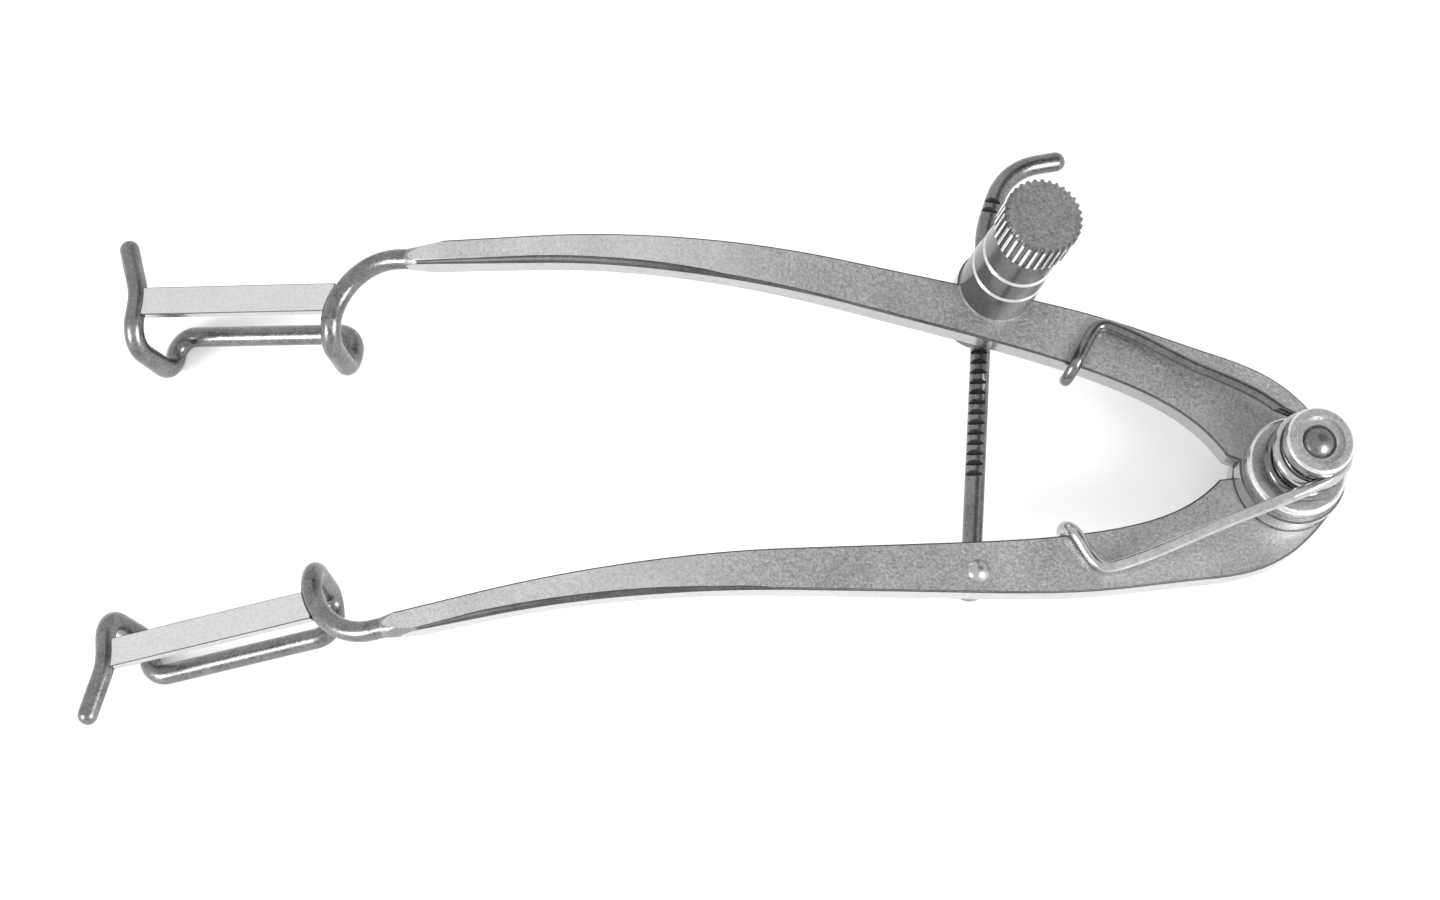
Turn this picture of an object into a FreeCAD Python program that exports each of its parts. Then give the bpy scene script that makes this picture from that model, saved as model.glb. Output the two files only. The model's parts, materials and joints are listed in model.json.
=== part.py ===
import FreeCAD, Part
import os
from math import acos, asin, atan2, cos, degrees, hypot, pi, radians, sin, sqrt, tan

V = FreeCAD.Vector

# An eye speculum: two sprung arms with wire blades, held apart by a notched rod and a thumb screw.
# Millimetres. It is drawn with the hinge upright and the arms running to -X, the upper arm at +Y.
# At the end everything is tipped about Y, so that it lies on its hinge foot and its two blades.

# Gaps
running_gap = 0.05          # between pieces that move on each other
rod_hole_gap = 0.09         # round the rod where it slides through the swivel post

# Arms, cut from flat bar
arm_thickness = 1.35
arm_stations = [            # distance from the hinge, half spread of the outer edge, width
    (51.0, 12.46, 1.44), (43.0, 11.57, 1.77), (33.0, 10.62, 2.40),
    (20.0, 9.40, 3.12), (11.0, 8.26, 3.78), (5.8, 7.08, 4.93)]
arm_heel = [(2.2, 6.15), (-0.6, 4.45)]      # outer edge only, round to the eye
eye_radius = 3.3            # round end of each arm at the hinge
heel_angle = 30.0           # where the outer edge meets the eye, from +X
arm_slot = 0.6              # between the inner edges beside the hinge
slot_depth = 0.8
bend_start = 29.8           # lower arm, distance from the hinge
bend_radius = 28.8
blade_slope = 36.5          # how steeply the arm ends and blades run down

# Blades, bent from round wire
blade_wire = 1.25           # diameter
blade_reach = 61.8          # blade centre from the hinge, along the arms
blade_spread = 10.47        # blade centre from the middle of the instrument
blade_splay = 6.7           # degrees that each blade turns outwards in its own plane
leg_spacing = 14.2
shank_offset = 2.72         # shank outside the blade's centre line
shank_length = 0.8
shank_bend = 3.95
lid_gap = 5.28              # between the two levels of wire, centre to centre
turn_reach = 0.7            # where the legs turn under, inside the centre line
turn_radius = 1.75
return_radius = 1.2
near_turn_tilt = 14.0       # the turn by the shank leans in under the blade
tip_length = 4.0            # free leg past the centre line
tip_flare = 24.0
tip_bend = 3.8
lash_plate_width = 1.8
lash_plate_thickness = 0.6
lash_plate_offset = 0.25    # outside the blade's centre line

# Hinge
foot_radius = 2.8
foot_height = 0.8
rivet_radius = 0.8
boss_radius = 3.1
boss_height = 0.95
cap_radius = 2.08
cap_height = 0.85
cap_recess_radius = 1.5
cap_recess_depth = 0.3
rivet_dome_radius = 1.05
rivet_dome_height = 0.55

# Spring
spring_wire = 0.72          # diameter
coil_radius = 2.05          # to the middle of the wire
coil_pitch = 0.76
coil_turns = 1.25           # in each half
upper_leg_corner = (12.2, 8.05)     # where a leg bends, along and across
lower_leg_corner = (11.4, 7.30)
upper_leg_hook = (13.60, 4.95)      # where it hooks over the arm's inner edge
lower_leg_hook = (13.15, 4.95)
upper_leg_knee = (1.7, 4.3)         # where it bends off the coil
lower_leg_knee = (0.6, 2.75)
hook_drop = 1.0
leg_corner_cut = 1.2

# Rod and lock
rod_pin_place = (18.7, 7.9)         # from the hinge, along and across
post_place = (18.4, 9.6)
rod_diameter = 1.2
rod_eye_radius = 1.1
rod_eye_thickness = 1.04
rod_run = 21.9              # pin to the first gentle bend
rod_lean = 14.5
rod_lean_bend = 5.7
rod_neck = 1.4
rod_hook = 57.5
rod_hook_bend = 3.8
rod_tip = 1.2
notch_pitch = 0.65
notch_depth = 0.34
notch_first = 6.6           # from the pin
notch_count = 23
neck_notch_count = 2        # past the first bend
notch_turn = 25.0           # how far the notches face off the top of the rod, towards the hinge
rod_pin_radius = 0.5
pin_head_radius = 0.68
pin_head_height = 0.35
post_radius = 2.27
neck_radius = 1.45
post_floor = 0.75           # metal under the rod
barrel_base_height = 3.1
barrel_ring_height = 2.2
barrel_top_height = 2.35
ring_lower_radius = 2.2
ring_upper_radius = 2.1
collar_radius = 2.2
collar_height = 0.35
knob_radius = 2.34
knob_height = 2.7
knob_teeth = 32
knurl_depth = 0.13
stem_radius = 0.85
stem_point = 0.35

# Levels above the foot's underside
lower_floor = foot_height
lower_top = lower_floor + arm_thickness
upper_floor = lower_top + running_gap
upper_top = upper_floor + arm_thickness
boss_floor = upper_top + running_gap
boss_top = boss_floor + boss_height
coil_rise = coil_pitch * coil_turns
coil_low = boss_top + spring_wire / 2 + running_gap
coil_high = coil_low + coil_rise + spring_wire + running_gap
cap_floor = coil_high + coil_rise + spring_wire / 2 + running_gap
cap_top = cap_floor + cap_height
rod_level = lower_floor - running_gap - rod_diameter / 2
post_top = upper_floor - running_gap
barrel_floor = upper_top + running_gap
ring_floor = barrel_floor + barrel_base_height
ring_middle = ring_floor + barrel_ring_height
collar_floor = ring_middle + barrel_top_height + running_gap
knob_floor = collar_floor + collar_height + running_gap
slope = radians(blade_slope)
step = upper_floor - lower_floor

pin_at = V(-rod_pin_place[0], -rod_pin_place[1], 0)
post_at = V(-post_place[0], post_place[1], 0)
rod_heading = degrees(atan2(post_at.y - pin_at.y, post_at.x - pin_at.x))
leg_half = leg_spacing / 2
corner_radius = turn_reach + turn_radius - return_radius


def disc(radius, height, at=V(0, 0, 0), floor=0.0):
    return Part.makeCylinder(radius, height, V(at.x, at.y, floor))


def ring(outer, inner, height, at=V(0, 0, 0), floor=0.0):
    return disc(outer, height, at, floor).cut(disc(inner, height, at, floor))


def dome(radius, height, at, floor):
    ball = (radius ** 2 + height ** 2) / (2 * height)
    sphere = Part.makeSphere(ball, V(at.x, at.y, floor + height - ball))
    return sphere.common(disc(radius, height, at, floor))


def round_bar(path, radius):
    start = path.Edges[0]
    first = start.valueAt(start.FirstParameter)
    heading = start.tangentAt(start.FirstParameter)
    return path.makePipe(Part.Face(Part.Wire([Part.makeCircle(radius, first, heading)])))


def arc(a, b, c):
    return Part.Arc(a, b, c).toShape()


def line(a, b):
    return Part.makeLine(a, b)


# A quarter circle that leaves a point along one direction and ends along another
def quarter(start, leave, arrive, radius):
    middle = start + leave * radius * sin(pi / 4) + arrive * radius * (1 - cos(pi / 4))
    end = start + leave * radius + arrive * radius
    return arc(start, middle, end), end


# Height of an arm's middle plane on the straight slope, for the lower arm's own bend start
def slope_level(reach):
    bend_run = bend_radius * sin(slope)
    drop = bend_radius * (1 - cos(slope)) + (reach - bend_start - bend_run) * tan(slope)
    return lower_floor + arm_thickness / 2 - drop


blade_centre = V(-blade_reach, blade_spread, slope_level(blade_reach))


# Blade pieces are drawn flat, running along -X, and then laid into the sloping plane
def into_slope(shape):
    shape.rotate(V(0, 0, 0), V(0, 0, 1), -blade_splay)
    shape.rotate(V(0, 0, 0), V(0, 1, 0), -blade_slope)
    shape.translate(blade_centre)
    return shape


def mirrored(shape):
    return shape.mirror(V(0, 0, 0), V(0, 1, 0))


def arm_side_profile(floor, start):
    mid = arm_thickness / 2
    centre = V(-start, 0, floor + mid - bend_radius)
    far = 12.0

    def edge(offset, turn):
        r = bend_radius + offset
        return centre + V(-r * sin(turn), 0, r * cos(turn))

    ahead = V(-cos(slope), 0, -sin(slope)) * (blade_reach - start)
    near_top, near_low = V(far, 0, floor + arm_thickness), V(far, 0, floor)
    top = [edge(mid, 0), edge(mid, slope / 2), edge(mid, slope)]
    low = [edge(-mid, 0), edge(-mid, slope / 2), edge(-mid, slope)]
    edges = [line(near_top, top[0]), arc(*top), line(top[2], top[2] + ahead),
             line(top[2] + ahead, low[2] + ahead), line(low[2] + ahead, low[2]),
             arc(low[2], low[1], low[0]), line(low[0], near_low), line(near_low, near_top)]
    face = Part.Face(Part.Wire(edges))
    face.translate(V(0, -40, 0))
    return face.extrude(V(0, 80, 0))


def arm_plan():
    outer = [V(-x, y, 0) for x, y, w in arm_stations]
    inner = [V(-x, y - w, 0) for x, y, w in arm_stations]
    run_on = (outer[0].x + blade_reach) / (outer[1].x - outer[0].x)
    outer_end = outer[0] + (outer[0] - outer[1]) * run_on
    inner_end = inner[0] + (inner[0] - inner[1]) * run_on
    heel = radians(heel_angle)
    heel_end = V(eye_radius * cos(heel), eye_radius * sin(heel), 0)
    out = Part.BSplineCurve()
    out.interpolate([outer_end] + outer + [V(-x, y, 0) for x, y in arm_heel] + [heel_end],
                    InitialTangent=outer[1] - outer[0], FinalTangent=V(sin(heel), -cos(heel), 0))
    half_slot = arm_slot / 2
    shoulder = V(-eye_radius - slot_depth, half_slot + 0.2, 0)
    inn = Part.BSplineCurve()
    inn.interpolate([inner_end] + inner + [shoulder])
    start = V(-sqrt(eye_radius ** 2 - half_slot ** 2), half_slot, 0)
    edges = [out.toShape(), arc(heel_end, V(0, -eye_radius, 0), start), line(start, shoulder),
             inn.toShape(), line(inner_end, outer_end)]
    return Part.Face(Part.Wire(Part.__sortEdges__(edges)))


# Takes the flat bar's corners off towards the round wire, and everything past the joint
def arm_end_trim():
    joint = leg_half + shank_bend + shank_length
    fade = 3.6
    block = Part.makeBox(fade, 8, 8, V(joint, -4 + shank_offset, -4))
    cone = Part.makeCone(blade_wire / 2 + 0.02, 1.25, fade, V(joint, shank_offset, 0), V(1, 0, 0))
    beyond = Part.makeBox(20, 12, 8, V(joint - 20, -6 + shank_offset, -4))
    return into_slope(block.cut(cone)), into_slope(beyond)


def arm_blank(floor, start):
    plan = arm_plan()
    plan.translate(V(0, 0, -60))
    blank = plan.extrude(V(0, 0, 80)).common(arm_side_profile(floor, start))
    corners, beyond = arm_end_trim()
    return blank.cut(beyond).cut(corners)


def lower_arm():
    body = mirrored(arm_blank(lower_floor, bend_start))
    body = body.cut(disc(rivet_radius, 9, floor=-2))
    return body.cut(disc(rod_pin_radius, 9, pin_at, -2))


def upper_arm():
    body = arm_blank(upper_floor, bend_start - step / tan(slope))
    ear = disc(post_radius + 0.1, arm_thickness, post_at, upper_floor)
    body = body.fuse(ear).removeSplitter()
    body = body.cut(disc(rivet_radius + running_gap, 9, floor=-2))
    return body.cut(disc(neck_radius + running_gap, 9, post_at, -2))


# Half of the turned-under part: a leg's end, down round the lid gap and in to the lower run
def blade_turn(side, lean):
    out, back, across = V(0, -1, 0), V(0, 1, 0), V(-side, 0, 0)
    down = V(-side * sin(radians(lean)), 0, -cos(radians(lean)))
    start = V(side * leg_half, -turn_reach, 0)
    over, a = quarter(start, out, down, turn_radius)
    b = a + down * (lid_gap / cos(radians(lean)) - turn_radius - return_radius)
    under, c = quarter(b, down, back, return_radius)
    corner, d = quarter(c, back, across, corner_radius)
    return [over, line(a, b), under, corner], start, d


def blade_wire_path():
    h, s, b = leg_half, shank_offset, shank_bend
    near, near_start, near_end = blade_turn(1, near_turn_tilt)
    far, far_start, far_end = blade_turn(-1, 0)
    bend, leg_top = quarter(V(h + b, s, 0), V(-1, 0, 0), V(0, -1, 0), b)
    flare = radians(tip_flare)
    swing = V(-h - tip_bend, 0, 0)
    tip_arc = [swing + V(tip_bend * cos(a), tip_bend * sin(a), 0) for a in (0, flare / 2, flare)]
    tip = tip_arc[2] + V(-sin(flare), cos(flare), 0) * (tip_length - tip_bend * sin(flare))
    edges = [line(V(h + b + shank_length, s, 0), V(h + b, s, 0)), bend, line(leg_top, near_start)]
    edges += near + [line(near_end, far_end)] + far[::-1]
    edges += [line(far_start, tip_arc[0]), arc(*tip_arc), line(tip_arc[2], tip)]
    return Part.Wire(Part.__sortEdges__(edges)), tip


def blade_wire_piece():
    path, tip = blade_wire_path()
    body = round_bar(path, blade_wire / 2)
    return body.fuse(Part.makeSphere(blade_wire / 2, tip)).removeSplitter()


def lash_plate_piece(wire):
    corner = V(-leg_half, lash_plate_offset - lash_plate_width / 2, -lash_plate_thickness / 2)
    return Part.makeBox(leg_spacing, lash_plate_width, lash_plate_thickness, corner).cut(wire)


def coil_points(level, first, turns):
    count = int(round(turns * 12))
    points = []
    for i in range(count + 1):
        angle = first - 2 * pi * turns * i / count
        height = level + coil_pitch * turns * i / count
        points.append(V(coil_radius * cos(angle), coil_radius * sin(angle), height))
    return points


# One half of the spring: part of the coil, a leg over its arm, and a hook over the inner edge
def spring_half(side, level, face, leg_knee, leg_corner, leg_hook):
    corner = V(-leg_corner[0], side * leg_corner[1], face + running_gap + spring_wire / 2)
    hook = V(-leg_hook[0], side * leg_hook[1], corner.z)
    knee = V(-leg_knee[0], side * leg_knee[1], level)
    bearing = atan2(knee.y, knee.x)
    touch = bearing - side * acos(coil_radius / hypot(knee.x, knee.y))
    if side > 0:
        coil = coil_points(level, touch, coil_turns)
        coil.reverse()
    else:
        coil = coil_points(level, touch + 2 * pi * coil_turns, coil_turns)
    if side < 0:
        knee.z = level + coil_pitch * coil_turns - 0.2
    turn = V(hook.x - corner.x, hook.y - corner.y, 0)
    turn.normalize()
    ahead = corner - knee
    ahead.normalize()
    before, after = corner - ahead * leg_corner_cut, corner + turn * leg_corner_cut
    middle = (before + after) * 0.5 * 0.45 + corner * 0.55
    over = hook + turn * 0.05
    down = over + turn * 0.4 + V(0, 0, -0.5)
    end = down + V(0, 0, -hook_drop)
    points = coil + [knee, knee + (before - knee) * 0.5, before, middle, after, over, down, end]
    curve = Part.BSplineCurve()
    curve.interpolate(points)
    return round_bar(Part.Wire([curve.toShape()]), spring_wire / 2)


# A flat path of straight runs, each followed by a bend
def walk(start, heading, moves):
    at, angle, edges = start, radians(heading), []
    for length, turn, radius in moves:
        ahead = V(cos(angle), sin(angle), 0)
        edges.append(line(at, at + ahead * length))
        at = at + ahead * length
        if turn:
            side = 1 if turn > 0 else -1
            centre = at + V(-sin(angle), cos(angle), 0) * radius * side
            points = []
            for share in (0, 0.5, 1):
                a = angle + radians(turn) * share - side * pi / 2
                points.append(centre + V(cos(a), sin(a), 0) * radius)
            edges.append(arc(*points))
            at, angle = points[2], angle + radians(turn)
    return Part.Wire(edges), at


# V cuts across a straight stretch of the rod
def notch_row(start, heading, first, count):
    top, half = rod_diameter / 2, notch_pitch * 0.34
    wedge = Part.Face(Part.makePolygon([V(-half, 0, top + 0.05), V(0, 0, top - notch_depth),
                                        V(half, 0, top + 0.05), V(-half, 0, top + 0.05)]))
    wedge = wedge.extrude(V(0, rod_diameter * 2, 0))
    wedge.translate(V(0, -rod_diameter, 0))
    wedge.rotate(V(0, 0, 0), V(1, 0, 0), -notch_turn)
    cuts = []
    for i in range(count):
        cut = wedge.copy()
        cut.translate(V(first + notch_pitch * i, 0, 0))
        cuts.append(cut)
    row = Part.makeCompound(cuts)
    row.rotate(V(0, 0, 0), V(0, 0, 1), heading)
    row.translate(start)
    return row


def notched_rod():
    start = V(pin_at.x, pin_at.y, rod_level)
    path, tip = walk(start, rod_heading, [(rod_run, -rod_lean, rod_lean_bend),
                                          (rod_neck, -rod_hook, rod_hook_bend), (rod_tip, 0, 0)])
    body = round_bar(path, rod_diameter / 2).fuse(Part.makeSphere(rod_diameter / 2, tip))
    body = body.fuse(disc(rod_eye_radius, rod_eye_thickness, pin_at, rod_level - rod_eye_thickness / 2))
    body = body.removeSplitter().cut(disc(rod_pin_radius + running_gap, 4, pin_at, -3))
    neck_start = walk(start, rod_heading, [(rod_run, -rod_lean, rod_lean_bend)])[1]
    body = body.cut(notch_row(start, rod_heading, notch_first, notch_count))
    return body.cut(notch_row(neck_start, rod_heading - rod_lean, notch_pitch / 2, neck_notch_count))


def rod_pin():
    bottom = rod_level - rod_diameter / 2 - running_gap
    shank = disc(rod_pin_radius, lower_top - bottom, pin_at, bottom)
    head = dome(pin_head_radius, pin_head_height, pin_at, lower_top)
    foot = disc(pin_head_radius, pin_head_height, pin_at, bottom - pin_head_height)
    return shank.fuse(head).fuse(foot).removeSplitter()


def pivot_foot():
    return ring(foot_radius, rivet_radius, foot_height)


def top_edges(shape, level):
    return [e for e in shape.Edges if abs(e.BoundBox.ZMin - level) < 1e-6]


def pivot_boss():
    hub_radius = coil_radius - spring_wire / 2 - running_gap
    flange = disc(boss_radius, boss_height, floor=boss_floor)
    flange = flange.makeFillet(0.3, top_edges(flange, boss_top))
    hub = disc(hub_radius, cap_floor - boss_top, floor=boss_top)
    return flange.fuse(hub).cut(disc(rivet_radius, 9, floor=boss_floor))


def pivot_cap():
    body = disc(cap_radius, cap_height, floor=cap_floor)
    body = body.makeFillet(0.2, top_edges(body, cap_top))
    body = body.cut(disc(cap_recess_radius, cap_recess_depth, floor=cap_top - cap_recess_depth))
    return body.cut(disc(rivet_radius, 3, floor=cap_floor))


def pivot_rivet():
    seat = cap_top - cap_recess_depth
    shank = disc(rivet_radius, seat)
    return shank.fuse(dome(rivet_dome_radius, rivet_dome_height, V(0, 0, 0), seat)).removeSplitter()


def swivel_post():
    bottom = rod_level - rod_diameter / 2 - rod_hole_gap - post_floor
    head = disc(post_radius, post_top - bottom, post_at, bottom)
    head = head.makeFillet(0.3, [e for e in head.Edges if abs(e.BoundBox.ZMax - bottom) < 1e-6])
    neck = disc(neck_radius, ring_floor - post_top, post_at, post_top)
    along = V(cos(radians(rod_heading)), sin(radians(rod_heading)), 0)
    middle = V(post_at.x, post_at.y, rod_level)
    hole = Part.makeCylinder(rod_diameter / 2 + rod_hole_gap, 8, middle - along * 4, along)
    return head.fuse(neck).cut(hole).cut(disc(stem_radius + running_gap, 20, post_at, rod_level))


def barrel_ring(outer, inner, height, floor):
    body = disc(outer, height, post_at, floor)
    body = body.makeChamfer(0.12, [e for e in body.Edges if isinstance(e.Curve, Part.Circle)])
    return body.cut(disc(inner, height, post_at, floor))


def thumb_screw():
    tip = rod_level + rod_diameter / 2 + running_gap
    stem = disc(stem_radius, knob_floor - tip - stem_point, post_at, tip + stem_point)
    point = Part.makeCone(stem_radius * 0.45, stem_radius, stem_point, V(post_at.x, post_at.y, tip))
    return stem.fuse(point).removeSplitter()


def thumb_knob():
    points = []
    valley = knob_radius - knurl_depth
    for i in range(knob_teeth):
        for share, r in ((0.0, knob_radius), (0.32, knob_radius), (0.5, valley), (0.82, valley)):
            a = 2 * pi * (i + share) / knob_teeth
            points.append(V(post_at.x + r * cos(a), post_at.y + r * sin(a), knob_floor))
    face = Part.Face(Part.makePolygon(points + points[:1]))
    return face.extrude(V(0, 0, knob_height))


# The tilt that brings the foot's rim and the lowest point of both blades down to one flat surface
def rest_tilt():
    low = into_slope(Part.Vertex(V(-leg_half, -corner_radius, -lid_gap))).Point
    along, drop = foot_radius - low.x, low.z
    return degrees(atan2(-drop, along) + asin(blade_wire / 2 / hypot(along, drop)))


stem_hole = stem_radius + running_gap
wire = blade_wire_piece()
plate = into_slope(lash_plate_piece(wire))
wire = into_slope(wire)

pieces = {
    "lower_arm": lower_arm(),
    "lower_blade_wire": mirrored(wire),
    "lower_lash_plate": mirrored(plate),
    "pivot_foot": pivot_foot(),
    "pivot_rivet": pivot_rivet(),
    "pivot_boss": pivot_boss(),
    "pivot_cap": pivot_cap(),
    "spring_lower_half": spring_half(-1, coil_high, lower_top, lower_leg_knee,
                                     lower_leg_corner, lower_leg_hook),
    "rod_pin": rod_pin(),
    "upper_arm": upper_arm(),
    "upper_blade_wire": wire,
    "upper_lash_plate": plate,
    "spring_upper_half": spring_half(1, coil_low, upper_top, upper_leg_knee,
                                     upper_leg_corner, upper_leg_hook),
    "notched_rod": notched_rod(),
    "swivel_post": swivel_post(),
    "barrel_base": barrel_ring(post_radius, neck_radius, barrel_base_height, barrel_floor),
    "barrel_ring_lower": barrel_ring(ring_lower_radius, stem_hole, barrel_ring_height, ring_floor),
    "barrel_ring_upper": barrel_ring(ring_upper_radius, stem_hole, barrel_top_height, ring_middle),
    "barrel_collar": ring(collar_radius, stem_hole, collar_height, post_at, collar_floor),
    "thumb_screw": thumb_screw(),
    "thumb_knob": thumb_knob(),
}

tilt = rest_tilt()
os.makedirs("parts", exist_ok=True)
for name, shape in pieces.items():
    shape = shape.Solids[0]
    shape.rotate(V(0, 0, 0), V(0, 1, 0), tilt)
    shape.exportStep("parts/" + name + ".step")
    box = shape.BoundBox
    print(name, shape.isValid(), round(shape.Volume, 3),
          [round(v, 2) for v in (box.XMin, box.XMax, box.YMin, box.YMax, box.ZMin, box.ZMax)])
print("rest tilt", round(tilt, 4))
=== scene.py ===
import json
from math import atan2, cos, pi, radians, sin

import bmesh
import bpy
from mathutils import Matrix, Vector

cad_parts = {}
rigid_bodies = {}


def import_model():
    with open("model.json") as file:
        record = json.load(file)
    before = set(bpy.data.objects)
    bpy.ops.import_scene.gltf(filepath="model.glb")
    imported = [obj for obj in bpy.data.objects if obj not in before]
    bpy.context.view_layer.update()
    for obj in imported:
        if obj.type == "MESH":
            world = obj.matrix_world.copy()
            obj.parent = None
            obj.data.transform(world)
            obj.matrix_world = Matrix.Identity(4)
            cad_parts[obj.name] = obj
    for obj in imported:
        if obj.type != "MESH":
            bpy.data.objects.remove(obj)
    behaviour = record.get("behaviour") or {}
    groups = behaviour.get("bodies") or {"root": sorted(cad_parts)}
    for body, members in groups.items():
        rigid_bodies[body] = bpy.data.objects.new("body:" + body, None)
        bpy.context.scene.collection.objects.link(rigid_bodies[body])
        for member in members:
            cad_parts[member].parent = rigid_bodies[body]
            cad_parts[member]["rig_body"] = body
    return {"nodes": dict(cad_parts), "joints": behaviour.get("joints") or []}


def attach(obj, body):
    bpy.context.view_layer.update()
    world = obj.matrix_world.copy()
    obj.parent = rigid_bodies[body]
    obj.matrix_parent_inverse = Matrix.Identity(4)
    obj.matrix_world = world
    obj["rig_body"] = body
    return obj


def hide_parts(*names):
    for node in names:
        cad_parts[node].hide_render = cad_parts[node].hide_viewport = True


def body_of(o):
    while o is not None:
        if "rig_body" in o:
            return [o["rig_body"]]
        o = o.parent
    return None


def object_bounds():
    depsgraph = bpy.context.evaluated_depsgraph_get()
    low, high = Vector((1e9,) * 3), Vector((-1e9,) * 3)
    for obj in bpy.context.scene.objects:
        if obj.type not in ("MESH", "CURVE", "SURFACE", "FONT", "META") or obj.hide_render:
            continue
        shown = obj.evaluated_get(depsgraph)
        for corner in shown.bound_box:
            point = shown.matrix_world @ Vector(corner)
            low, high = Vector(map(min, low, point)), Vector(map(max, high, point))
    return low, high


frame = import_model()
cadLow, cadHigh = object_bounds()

# An eye speculum on a pale table. Pieces are made in millimetres with the hinge along Z and the arms
# running to -X, as the part is drawn, and one matrix tips them on to the foot and the two blades.
millimetre = 0.001
spreadJoint = next(joint for joint in frame["joints"] if joint["name"] == "spread")
hingeUp = -Vector(spreadJoint["axis"])
restTilt = atan2(hingeUp.x, hingeUp.z)
tip = Matrix.Rotation(restTilt, 4, "Y")
toFrame = tip @ Matrix.Scale(millimetre, 4)
toDrawn = toFrame.inverted()           # back to millimetres, upright on the hinge
print("frame loaded, tilt", round(restTilt, 4))


def putInScene(name, data):
    obj = bpy.data.objects.new(name, data)
    bpy.context.collection.objects.link(obj)
    return obj


def shareOf(value, start, end):        # 0 up to the start, 1 from the end on
    return min(max((value - start) / (end - start), 0), 1)


# Camera, at the photograph's angle
camera = {
    "aim": (-34.15, -1.71, 0.80),      # between the arms, where the view is centred
    "distance": 294.2,
    "lean": 23.56,                     # degrees off the hinge's own axis
    "bearing": 63.89,
    "roll": 59.34,
    "lens": 125.6,
    "sensor": 36,
    "clip": (0.01, 5)}


def makeCamera(spec):
    lean, bearing, roll = (radians(spec[key]) for key in ("lean", "bearing", "roll"))
    bx, by = cos(bearing), sin(bearing)
    back = Vector((-bx * sin(lean), -by * sin(lean), cos(lean)))
    across = Vector((bx * cos(lean), by * cos(lean), sin(lean)))
    aside = Vector((by, -bx, 0))
    right = cos(roll) * across + sin(roll) * aside
    up = sin(roll) * across - cos(roll) * aside
    place = Vector(spec["aim"]) + back * spec["distance"]
    turn = Matrix((right, up, back)).transposed().to_4x4()
    data = bpy.data.cameras.new("camera")
    data.lens, data.sensor_width = spec["lens"], spec["sensor"]
    data.clip_start, data.clip_end = spec["clip"]
    obj = putInScene("camera", data)
    obj.matrix_world = Matrix.Translation(tip @ (place * millimetre)) @ tip @ turn
    bpy.context.scene.camera = obj


makeCamera(camera)
bpy.context.scene.view_settings.view_transform = "Standard"
print("camera")

# Table and light
studio = {
    "floorSize": 1.6,
    "floorColour": (0.92, 0.92, 0.925, 1),
    "floorGloss": {"Roughness": 0.75},
    "floorGrain": {"Scale": 900.0, "Detail": 3.0},
    "floorBump": {"Strength": 0.06, "Distance": 0.0002},
    "floorDrop": 0.00001,              # keeps the table just under the foot and the blades
    "sky": 1.10,                       # brightness of the room
    "flag": 0.22,                      # and of the dark flag that the flat faces mirror
    "flagPlace": (0.55, 0.40, 0.73),
    "flagSpan": (0.86, 0.995),         # cosines where the room gives way to the flag
    "panelAim": (-0.03, 0, 0),
    "panels": [                        # name, place, size, watts
        ("leftPanel", (-0.50, -0.35, 0.30), 0.30, 3.0),
        ("rightPanel", (0.45, -0.30, 0.30), 0.30, 3.0)]}


def nodeTree(owner):
    owner.use_nodes = True
    tree = owner.node_tree
    tree.nodes.clear()
    return tree


def addNode(tree, kind, **settings):
    node = tree.nodes.new(kind)
    for key, value in settings.items():
        if key in node.inputs:
            node.inputs[key].default_value = value
        else:
            setattr(node, key, value)
    return node


def makeSky(spec):
    world = bpy.data.worlds.new("studioSky")
    bpy.context.scene.world = world
    tree = nodeTree(world)
    place = addNode(tree, "ShaderNodeTexCoord")
    near = addNode(tree, "ShaderNodeVectorMath", operation="DOT_PRODUCT")
    near.inputs[1].default_value = Vector(spec["flagPlace"]).normalized()
    fade = addNode(tree, "ShaderNodeMapRange", interpolation_type="SMOOTHSTEP")
    fade.inputs["From Min"].default_value, fade.inputs["From Max"].default_value = spec["flagSpan"]
    fade.inputs["To Min"].default_value = spec["sky"]
    fade.inputs["To Max"].default_value = spec["flag"]
    glow = addNode(tree, "ShaderNodeBackground", Color=(1, 1, 1, 1))
    out = addNode(tree, "ShaderNodeOutputWorld")
    link = tree.links.new
    link(place.outputs["Generated"], near.inputs[0])
    link(near.outputs["Value"], fade.inputs["Value"])
    link(fade.outputs["Result"], glow.inputs["Strength"])
    link(glow.outputs[0], out.inputs[0])


def makePanel(aim, name, place, size, watts):
    data = bpy.data.lights.new(name, "AREA")
    data.shape, data.size, data.energy = "DISK", size, watts
    panel = putInScene(name, data)
    panel.location = place
    panel.rotation_euler = (Vector(aim) - Vector(place)).to_track_quat("-Z", "Y").to_euler()


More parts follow.
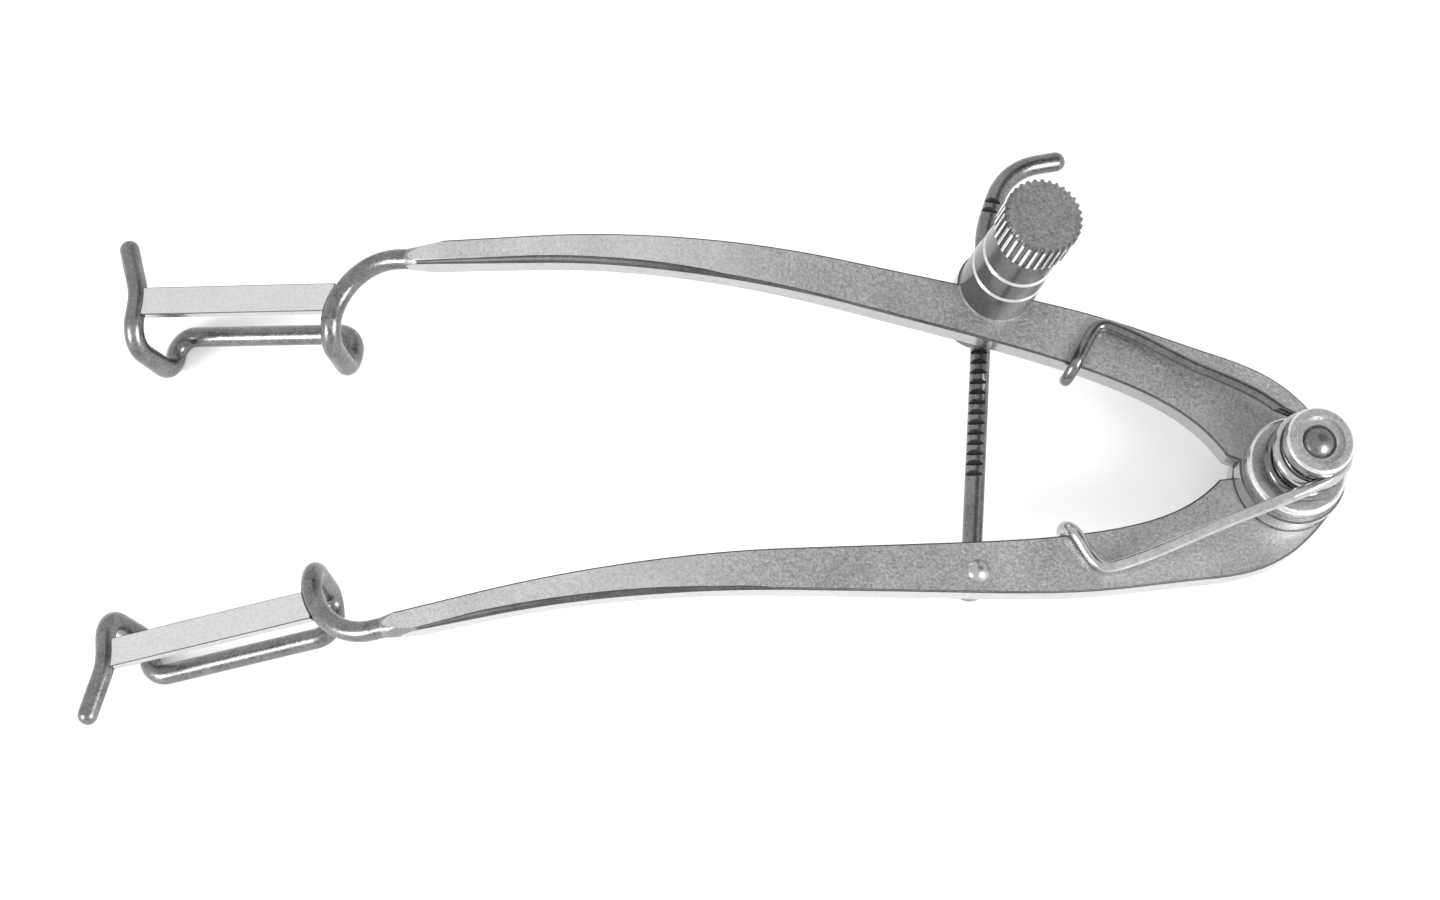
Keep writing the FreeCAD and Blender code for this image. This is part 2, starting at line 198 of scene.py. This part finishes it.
def makeFloor(spec):
    half = spec["floorSize"] / 2
    mesh = bpy.data.meshes.new("floor")
    corners = [(-half, -half, 0), (half, -half, 0), (half, half, 0), (-half, half, 0)]
    mesh.from_pydata(corners, [], [(0, 1, 2, 3)])
    floor = putInScene("floor", mesh)
    floor.location.z = cadLow.z - spec["floorDrop"]
    material = bpy.data.materials.new("paleTable")
    tree = nodeTree(material)
    place = addNode(tree, "ShaderNodeTexCoord")
    grain = addNode(tree, "ShaderNodeTexNoise", **spec["floorGrain"])
    bump = addNode(tree, "ShaderNodeBump", **spec["floorBump"])
    shader = addNode(tree, "ShaderNodeBsdfPrincipled", **spec["floorGloss"])
    shader.inputs["Base Color"].default_value = spec["floorColour"]
    out = addNode(tree, "ShaderNodeOutputMaterial")
    link = tree.links.new
    link(place.outputs["Object"], grain.inputs["Vector"])
    link(grain.outputs["Fac"], bump.inputs["Height"])
    link(bump.outputs[0], shader.inputs["Normal"])
    link(shader.outputs[0], out.inputs[0])
    mesh.materials.append(material)


makeSky(studio)
makeFloor(studio)
for panel in studio["panels"]:
    makePanel(studio["panelAim"], *panel)
print("table and light")

# Finishes of the steel. A fine grain and a broad cloud, both sized in millimetres, carry each from
# its dark to its light grey and from its first to its second roughness.
finishes = {
    "satinFace": {"dark": 0.38, "light": 0.62, "rough": (0.34, 0.50), "grain": 0.17, "bump": 1.0,
                  "cloud": 3.5, "cloudShare": 0.30},
    "polishedWall": {"dark": 0.42, "light": 0.56, "rough": (0.16, 0.26), "grain": 0.25, "bump": 0.05,
                     "cloud": 3.0, "cloudShare": 0.30},
    # chamfers of the turned pieces lightened, a painted highlight
    "chamferPaintedHighlight": {"dark": 0.58, "light": 0.74, "rough": (0.16, 0.26), "grain": 0.25, "bump": 0.05,
                      "cloud": 3.0, "cloudShare": 0.30},
    # a dark band of painted shade on the edges of the arms and lash plates
    "edgePaintedShade": {"dark": 0.05, "light": 0.13, "rough": (0.40, 0.55), "grain": 0.20, "bump": 0.10,
                   "cloud": 2.0, "cloudShare": 0.50},
    "wireSteel": {"dark": 0.10, "light": 0.26, "rough": (0.22, 0.34), "grain": 0.18, "bump": 0.35,
                  "cloud": 1.2, "cloudShare": 0.50},
    "drawnEnd": {"dark": 0.17, "light": 0.34, "rough": (0.28, 0.42), "grain": 0.18, "bump": 0.50,
                 "cloud": 1.2, "cloudShare": 0.50},
    # a lighter copy of the spring steel, painted light on the spring's lower half
    "springPaintedLight": {"dark": 0.34, "light": 0.50, "rough": (0.14, 0.24), "grain": 0.30, "bump": 0.04,
                     "cloud": 2.0, "cloudShare": 0.40},
    # a darker copy of the same steel, painted shade on the spring's upper half
    "springPaintedShade": {"dark": 0.11, "light": 0.23, "rough": (0.14, 0.24), "grain": 0.30, "bump": 0.04,
                   "cloud": 2.0, "cloudShare": 0.40},
    "plateSteel": {"dark": 0.52, "light": 0.66, "rough": (0.38, 0.50), "grain": 0.16, "bump": 0.30,
                   "cloud": 2.5, "cloudShare": 0.20},
    "turnedSteel": {"dark": 0.34, "light": 0.50, "rough": (0.22, 0.32), "grain": 0.18, "bump": 0.10,
                    "cloud": 1.2, "cloudShare": 0.45},
    "hingeFace": {"dark": 0.46, "light": 0.66, "rough": (0.34, 0.50), "grain": 0.17, "bump": 0.9,
                  "cloud": 1.5, "cloudShare": 0.30},
    # dark steel: the swivel post's own tone, and painted shade on the sides of the barrel pieces
    "barrelDarkAndPaintedShade": {"dark": 0.08, "light": 0.17, "rough": (0.20, 0.30), "grain": 0.20, "bump": 0.10,
                    "cloud": 1.2, "cloudShare": 0.45},
    "knobFace": {"dark": 0.22, "light": 0.40, "rough": (0.40, 0.55), "grain": 0.17, "bump": 0.9,
                 "cloud": 1.5, "cloudShare": 0.25},
    # tooth tops of the knob lightened, a painted highlight
    "knobRidgePaintedHighlight": {"dark": 0.78, "light": 0.92, "rough": (0.16, 0.26), "grain": 0.20, "bump": 0.05,
                  "cloud": 0.8, "cloudShare": 0.30},
    # grooves between the knob's teeth darkened, painted shade
    "knobGroovePaintedShade": {"dark": 0.10, "light": 0.20, "rough": (0.30, 0.45), "grain": 0.15, "bump": 0.20,
                   "cloud": 0.8, "cloudShare": 0.30}}

# What all the finishes share
allSteel = {
    "grain": {"Detail": 2.0, "Roughness": 0.6},
    "cloud": {"Detail": 4.0, "Roughness": 0.55},
    "span": (0.3, 0.7),                # where in the noise the two ends of a finish lie
    "bumpHeight": 0.00002,
    "blue": 1.005}                     # steel is a trace bluer than grey


def steel(name, spec, shared):
    material = bpy.data.materials.new(name)
    tree = nodeTree(material)
    place = addNode(tree, "ShaderNodeTexCoord")
    grain, cloud = (addNode(tree, "ShaderNodeTexNoise", Scale=1 / (spec[key] * millimetre), **shared[key])
                    for key in ("grain", "cloud"))
    mix = addNode(tree, "ShaderNodeMix", data_type="FLOAT")
    mix.inputs["Factor"].default_value = spec["cloudShare"]
    tint = addNode(tree, "ShaderNodeValToRGB")
    for stop, position, grey in zip(tint.color_ramp.elements, shared["span"], (spec["dark"], spec["light"])):
        stop.position = position
        stop.color = (grey, grey, grey * shared["blue"], 1)
    gloss = addNode(tree, "ShaderNodeMapRange")
    gloss.inputs["From Min"].default_value, gloss.inputs["From Max"].default_value = shared["span"]
    gloss.inputs["To Min"].default_value, gloss.inputs["To Max"].default_value = spec["rough"]
    bump = addNode(tree, "ShaderNodeBump", Strength=spec["bump"], Distance=shared["bumpHeight"])
    shader = addNode(tree, "ShaderNodeBsdfPrincipled", Metallic=1.0)
    out = addNode(tree, "ShaderNodeOutputMaterial")
    link = tree.links.new
    link(place.outputs["Object"], grain.inputs["Vector"])
    link(place.outputs["Object"], cloud.inputs["Vector"])
    link(grain.outputs["Fac"], mix.inputs["A"])
    link(cloud.outputs["Fac"], mix.inputs["B"])
    link(mix.outputs["Result"], tint.inputs["Fac"])
    link(mix.outputs["Result"], gloss.inputs["Value"])
    link(grain.outputs["Fac"], bump.inputs["Height"])
    link(tint.outputs["Color"], shader.inputs["Base Color"])
    link(gloss.outputs["Result"], shader.inputs["Roughness"])
    link(bump.outputs[0], shader.inputs["Normal"])
    link(shader.outputs[0], out.inputs[0])
    return material


steels = {name: steel(name, spec, allSteel) for name, spec in finishes.items()}
print("finishes", len(steels))


def shapeOf(node):
    bm = bmesh.new()
    bm.from_mesh(frame["nodes"][node].data)
    return bm


def smoothBut(bm, angle):
    for face in bm.faces:
        face.smooth = True
    for edge in bm.edges:
        if len(edge.link_faces) == 2 and edge.calc_face_angle(0) > radians(angle):
            edge.smooth = False


# A new piece in place of a solid, on the solid's body
def asPiece(name, bm, finishNames, node):
    mesh = bpy.data.meshes.new(name)
    bm.to_mesh(mesh)
    bm.free()
    for finish in finishNames:
        mesh.materials.append(steels[finish])
    piece = putInScene(name, mesh)
    solid = frame["nodes"][node]
    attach(piece, body_of(solid)[0])
    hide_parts(node)
    return piece


cleaning = {
    "weld": 0.002,                     # corners this close become one
    "level": 0.4,                      # and faces within this many degrees are joined
    "facing": 0.5,                     # cosine from which a face looks to a side
    "margin": 0.1}                     # by which a face of the wire's finish may pass barFrom
faceSlot, wallSlot, edgeSlot, wireSlot = range(4)      # places in a piece's list of finishes
noWire = -90.0                                         # barFrom of a piece that no wire runs out of


# A piece made from a solid's own shape, with its edges broken and each side finished by how it leans
def steelPiece(name, node, spec):
    bm = shapeOf(node)
    bmesh.ops.remove_doubles(bm, verts=bm.verts, dist=cleaning["weld"] * millimetre)
    bmesh.ops.dissolve_limit(bm, angle_limit=radians(cleaning["level"]), verts=bm.verts, edges=bm.edges)
    weight = bm.edges.layers.float.new("bevel_weight_edge")
    smoothBut(bm, spec["smoothTo"])
    for edge in bm.edges:
        if len(edge.link_faces) != 2 or edge.calc_face_angle(0) < radians(spec["sharpFrom"]):
            continue
        along = [(toDrawn @ corner.co).x for corner in edge.verts]
        if max(along) > spec["barFrom"]:
            normals = [face.normal for face in edge.link_faces]
            nearSide = min(normal.y for normal in normals) < -cleaning["facing"]
            topSide = max(normal.dot(hingeUp) for normal in normals) > cleaning["facing"]
            # toward the blade the near top edge's bevel, and the painted shade on it, grows wider
            shadeBandWidening = shareOf(sum(along) / 2, spec["wideFrom"], spec["wideFull"]) if nearSide and topSide else 0
            edge[weight] = (spec["edge"] + shadeBandWidening * (spec["wideEdge"] - spec["edge"])) / spec["wideEdge"]
            edge.smooth = True
    # each face takes the face, wall or edge finish by its lean: painted shade on barrel walls, highlight on
    # chamfers
    for face in bm.faces:
        lean = abs(face.normal.dot(hingeUp))
        if max((toDrawn @ corner.co).x for corner in face.verts) < spec["barFrom"] + cleaning["margin"]:
            face.material_index = wireSlot
        elif lean > spec["faceFrom"]:
            face.material_index = faceSlot
        else:
            face.material_index = wallSlot if lean < spec["wallBelow"] else edgeSlot
    piece = asPiece(name, bm, spec["finishes"], node)
    if spec["wideEdge"]:
        # the bevel's faces take the edge finish, on the arms and plates a band of painted shade
        broken = piece.modifiers.new("brokenEdges", "BEVEL")
        broken.limit_method, broken.width = "WEIGHT", spec["wideEdge"] * millimetre
        broken.segments, broken.material = spec["segments"], edgeSlot
        broken.use_clamp_overlap = False
    even = piece.modifiers.new("evenShading", "WEIGHTED_NORMAL")
    even.keep_sharp = True


# Arms: satin faces, polished walls and a thin dark line of painted shade along the edges
arm = {
    "edge": 0.11, "wideEdge": 0.34,    # the near edge's band of painted shade widens from wideFrom to wideFull
    "wideFrom": -29.0, "wideFull": -38.0,
    "segments": 4, "sharpFrom": 38.0, "smoothTo": 32.0,
    "faceFrom": 0.62, "wallBelow": 0.62,
    "barFrom": -49.4,                  # nearer the blade the bar is drawn down to round wire
    "finishes": ("satinFace", "polishedWall", "edgePaintedShade", "drawnEnd")}
for side in ("lower", "upper"):
    steelPiece(side + "_arm_bar", side + "_arm", arm)
print("arms")

# Lash plates: flat strips soldered between the legs of each blade
lashPlate = dict(arm, edge=0.05, wideEdge=0.05, barFrom=noWire,
                 # the plates' edges carry the same band of painted shade
                 finishes=("plateSteel", "polishedWall", "edgePaintedShade"))
for side in ("lower", "upper"):
    steelPiece(side + "_lash_strip", side + "_lash_plate", lashPlate)
print("lash plates")

# Turned pieces: grained ends, dark sides and bright chamfers, which their solids already have
# the barrel pieces' dark sides are painted shade and their bright chamfers a painted highlight
turned = {
    "wideEdge": 0, "sharpFrom": 180.0, "smoothTo": 32.0,
    "faceFrom": 0.97, "wallBelow": 0.30,
    "barFrom": noWire,
    "finishes": ("satinFace", "barrelDarkAndPaintedShade", "chamferPaintedHighlight")}
# the hinge's chamfers carry the same painted highlight
turnedHinge = dict(turned, finishes=("hingeFace", "turnedSteel", "chamferPaintedHighlight"))
for node in ("barrel_base", "barrel_ring_lower", "barrel_ring_upper", "barrel_collar"):
    steelPiece(node + "_turned", node, turned)
for node in ("pivot_boss", "pivot_cap"):
    steelPiece(node + "_turned", node, turnedHinge)
print("turned pieces")

# Upper half of the spring, with its leg run straighter from the coil to the bend over the arm
upperLeg = {
    "corner": -12.2,                   # where the leg bends over the arm
    "knee": -1.7,                      # where it leaves the hub
    "coil": (2.45, 4.2),               # radius of the coil, and of the knee
    "inward": 0.75,
    "smoothTo": 40.0,
    # a darker copy of the spring steel, painted shade on this half
    "finishes": ("springPaintedShade",)}


def straightenLeg(name, node, spec):
    bm = shapeOf(node)
    smoothBut(bm, spec["smoothTo"])
    for vertex in bm.verts:
        place = toDrawn @ vertex.co
        out = shareOf(place.xy.length, *spec["coil"])
        along = shareOf(place.x, spec["corner"], spec["knee"])
        place.y -= spec["inward"] * out * along
        vertex.co = toFrame @ place
    asPiece(name, bm, spec["finishes"], node)


straightenLeg("upper_spring_wire", "spring_upper_half", upperLeg)
print("spring leg")

# Thumb knob: a knurled drum with flat-topped teeth, broken rims and a slightly dished face
# its tooth tops carry a painted highlight and its grooves painted shade
knob = {
    "place": (-18.4, 9.6),
    "floor": 11.70,
    "height": 2.7,
    "radius": 2.34,
    "teeth": 32,
    "toothDepth": 0.15,
    "toothHalf": 0.30,                 # half a tooth and one flank of it, as shares of the pitch
    "toothFlank": 0.12,
    "stepsPerTooth": 10,
    "chamfer": 0.16,
    "topChamfer": 0.6,                 # share of the chamfer that the top rim takes
    "rimTeeth": 0.55,                  # share of the tooth depth that is left at the rims
    "underInset": 0.5, "faceInset": 0.35,
    "dish": 0.02, "dishRings": (0.5, 0.12),
    "ridgeFrom": 0.5,                  # share of the tooth depth from which a side takes the painted highlight
    "flatFrom": 0.9,                   # upward cosine from which a face is part of the top
    "smoothTo": 28.0,
    "finishes": ("knobFace", "knobRidgePaintedHighlight", "knobGroovePaintedShade")}
ridgeSlot, grooveSlot = 1, 2           # places in that list


def toothHeight(spec, step):
    share = step % spec["stepsPerTooth"] / spec["stepsPerTooth"]
    ridge = shareOf(spec["toothHalf"] - abs(share - spec["toothHalf"]), 0, spec["toothFlank"])
    return spec["toothDepth"] * ridge


def knurledKnob(name, node, spec):
    bm = bmesh.new()
    count = spec["teeth"] * spec["stepsPerTooth"]
    bottom, cut = spec["floor"], spec["chamfer"]
    top = bottom + spec["height"]
    valley = spec["radius"] - spec["toothDepth"]
    levels = [                         # height, radius, share of the teeth
        (bottom, valley - spec["underInset"], 0),
        (bottom, valley - cut, spec["rimTeeth"]),
        (bottom + cut, valley, 1),
        (top - cut, valley, 1),
        (top, valley - cut * spec["topChamfer"], spec["rimTeeth"]),
        (top, valley - spec["faceInset"], 0)]
    levels += [(top - spec["dish"], valley * share, 0) for share in spec["dishRings"]]
    rings = []
    for height, radius, toothed in levels:
        ring = []
        for i in range(count):
            angle = 2 * pi * i / count
            reach = radius + toothHeight(spec, i) * toothed
            ring.append(bm.verts.new((spec["place"][0] + reach * cos(angle),
                                      spec["place"][1] + reach * sin(angle), height)))
        rings.append(ring)
    for low, high in zip(rings, rings[1:]):
        for i in range(count):
            bm.faces.new((low[i], low[(i + 1) % count], high[(i + 1) % count], high[i]))
    bm.faces.new(rings[0][::-1])
    bm.faces.new(rings[-1])
    bm.normal_update()
    for face in bm.faces:
        reach = min((corner.co.xy - Vector(spec["place"])).length for corner in face.verts)
        onRidge = reach > valley + spec["toothDepth"] * spec["ridgeFrom"]
        # tooth sides near the tops take the painted highlight, deeper sides painted shade
        if face.normal.z < spec["flatFrom"]:
            face.material_index = ridgeSlot if onRidge else grooveSlot
    smoothBut(bm, spec["smoothTo"])
    bm.transform(toFrame)
    asPiece(name, bm, spec["finishes"], node)


knurledKnob("knurled_knob", "thumb_knob", knob)
print("knob")

# What each solid that stays is finished with
solidFinish = {
    "wireSteel": ["lower_blade_wire", "upper_blade_wire", "notched_rod", "pivot_rivet"],
    # the lower half of the spring in the lighter copy, a painted light
    "springPaintedLight": ["spring_lower_half"],
    "turnedSteel": ["pivot_foot", "rod_pin", "thumb_screw"],
    # the swivel post takes the barrel's dark steel as its own tone
    "barrelDarkAndPaintedShade": ["swivel_post"]}
for finish, names in solidFinish.items():
    for name in names:
        frame["nodes"][name].material_slots[0].link = "OBJECT"
        frame["nodes"][name].material_slots[0].material = steels[finish]
print("solids finished")
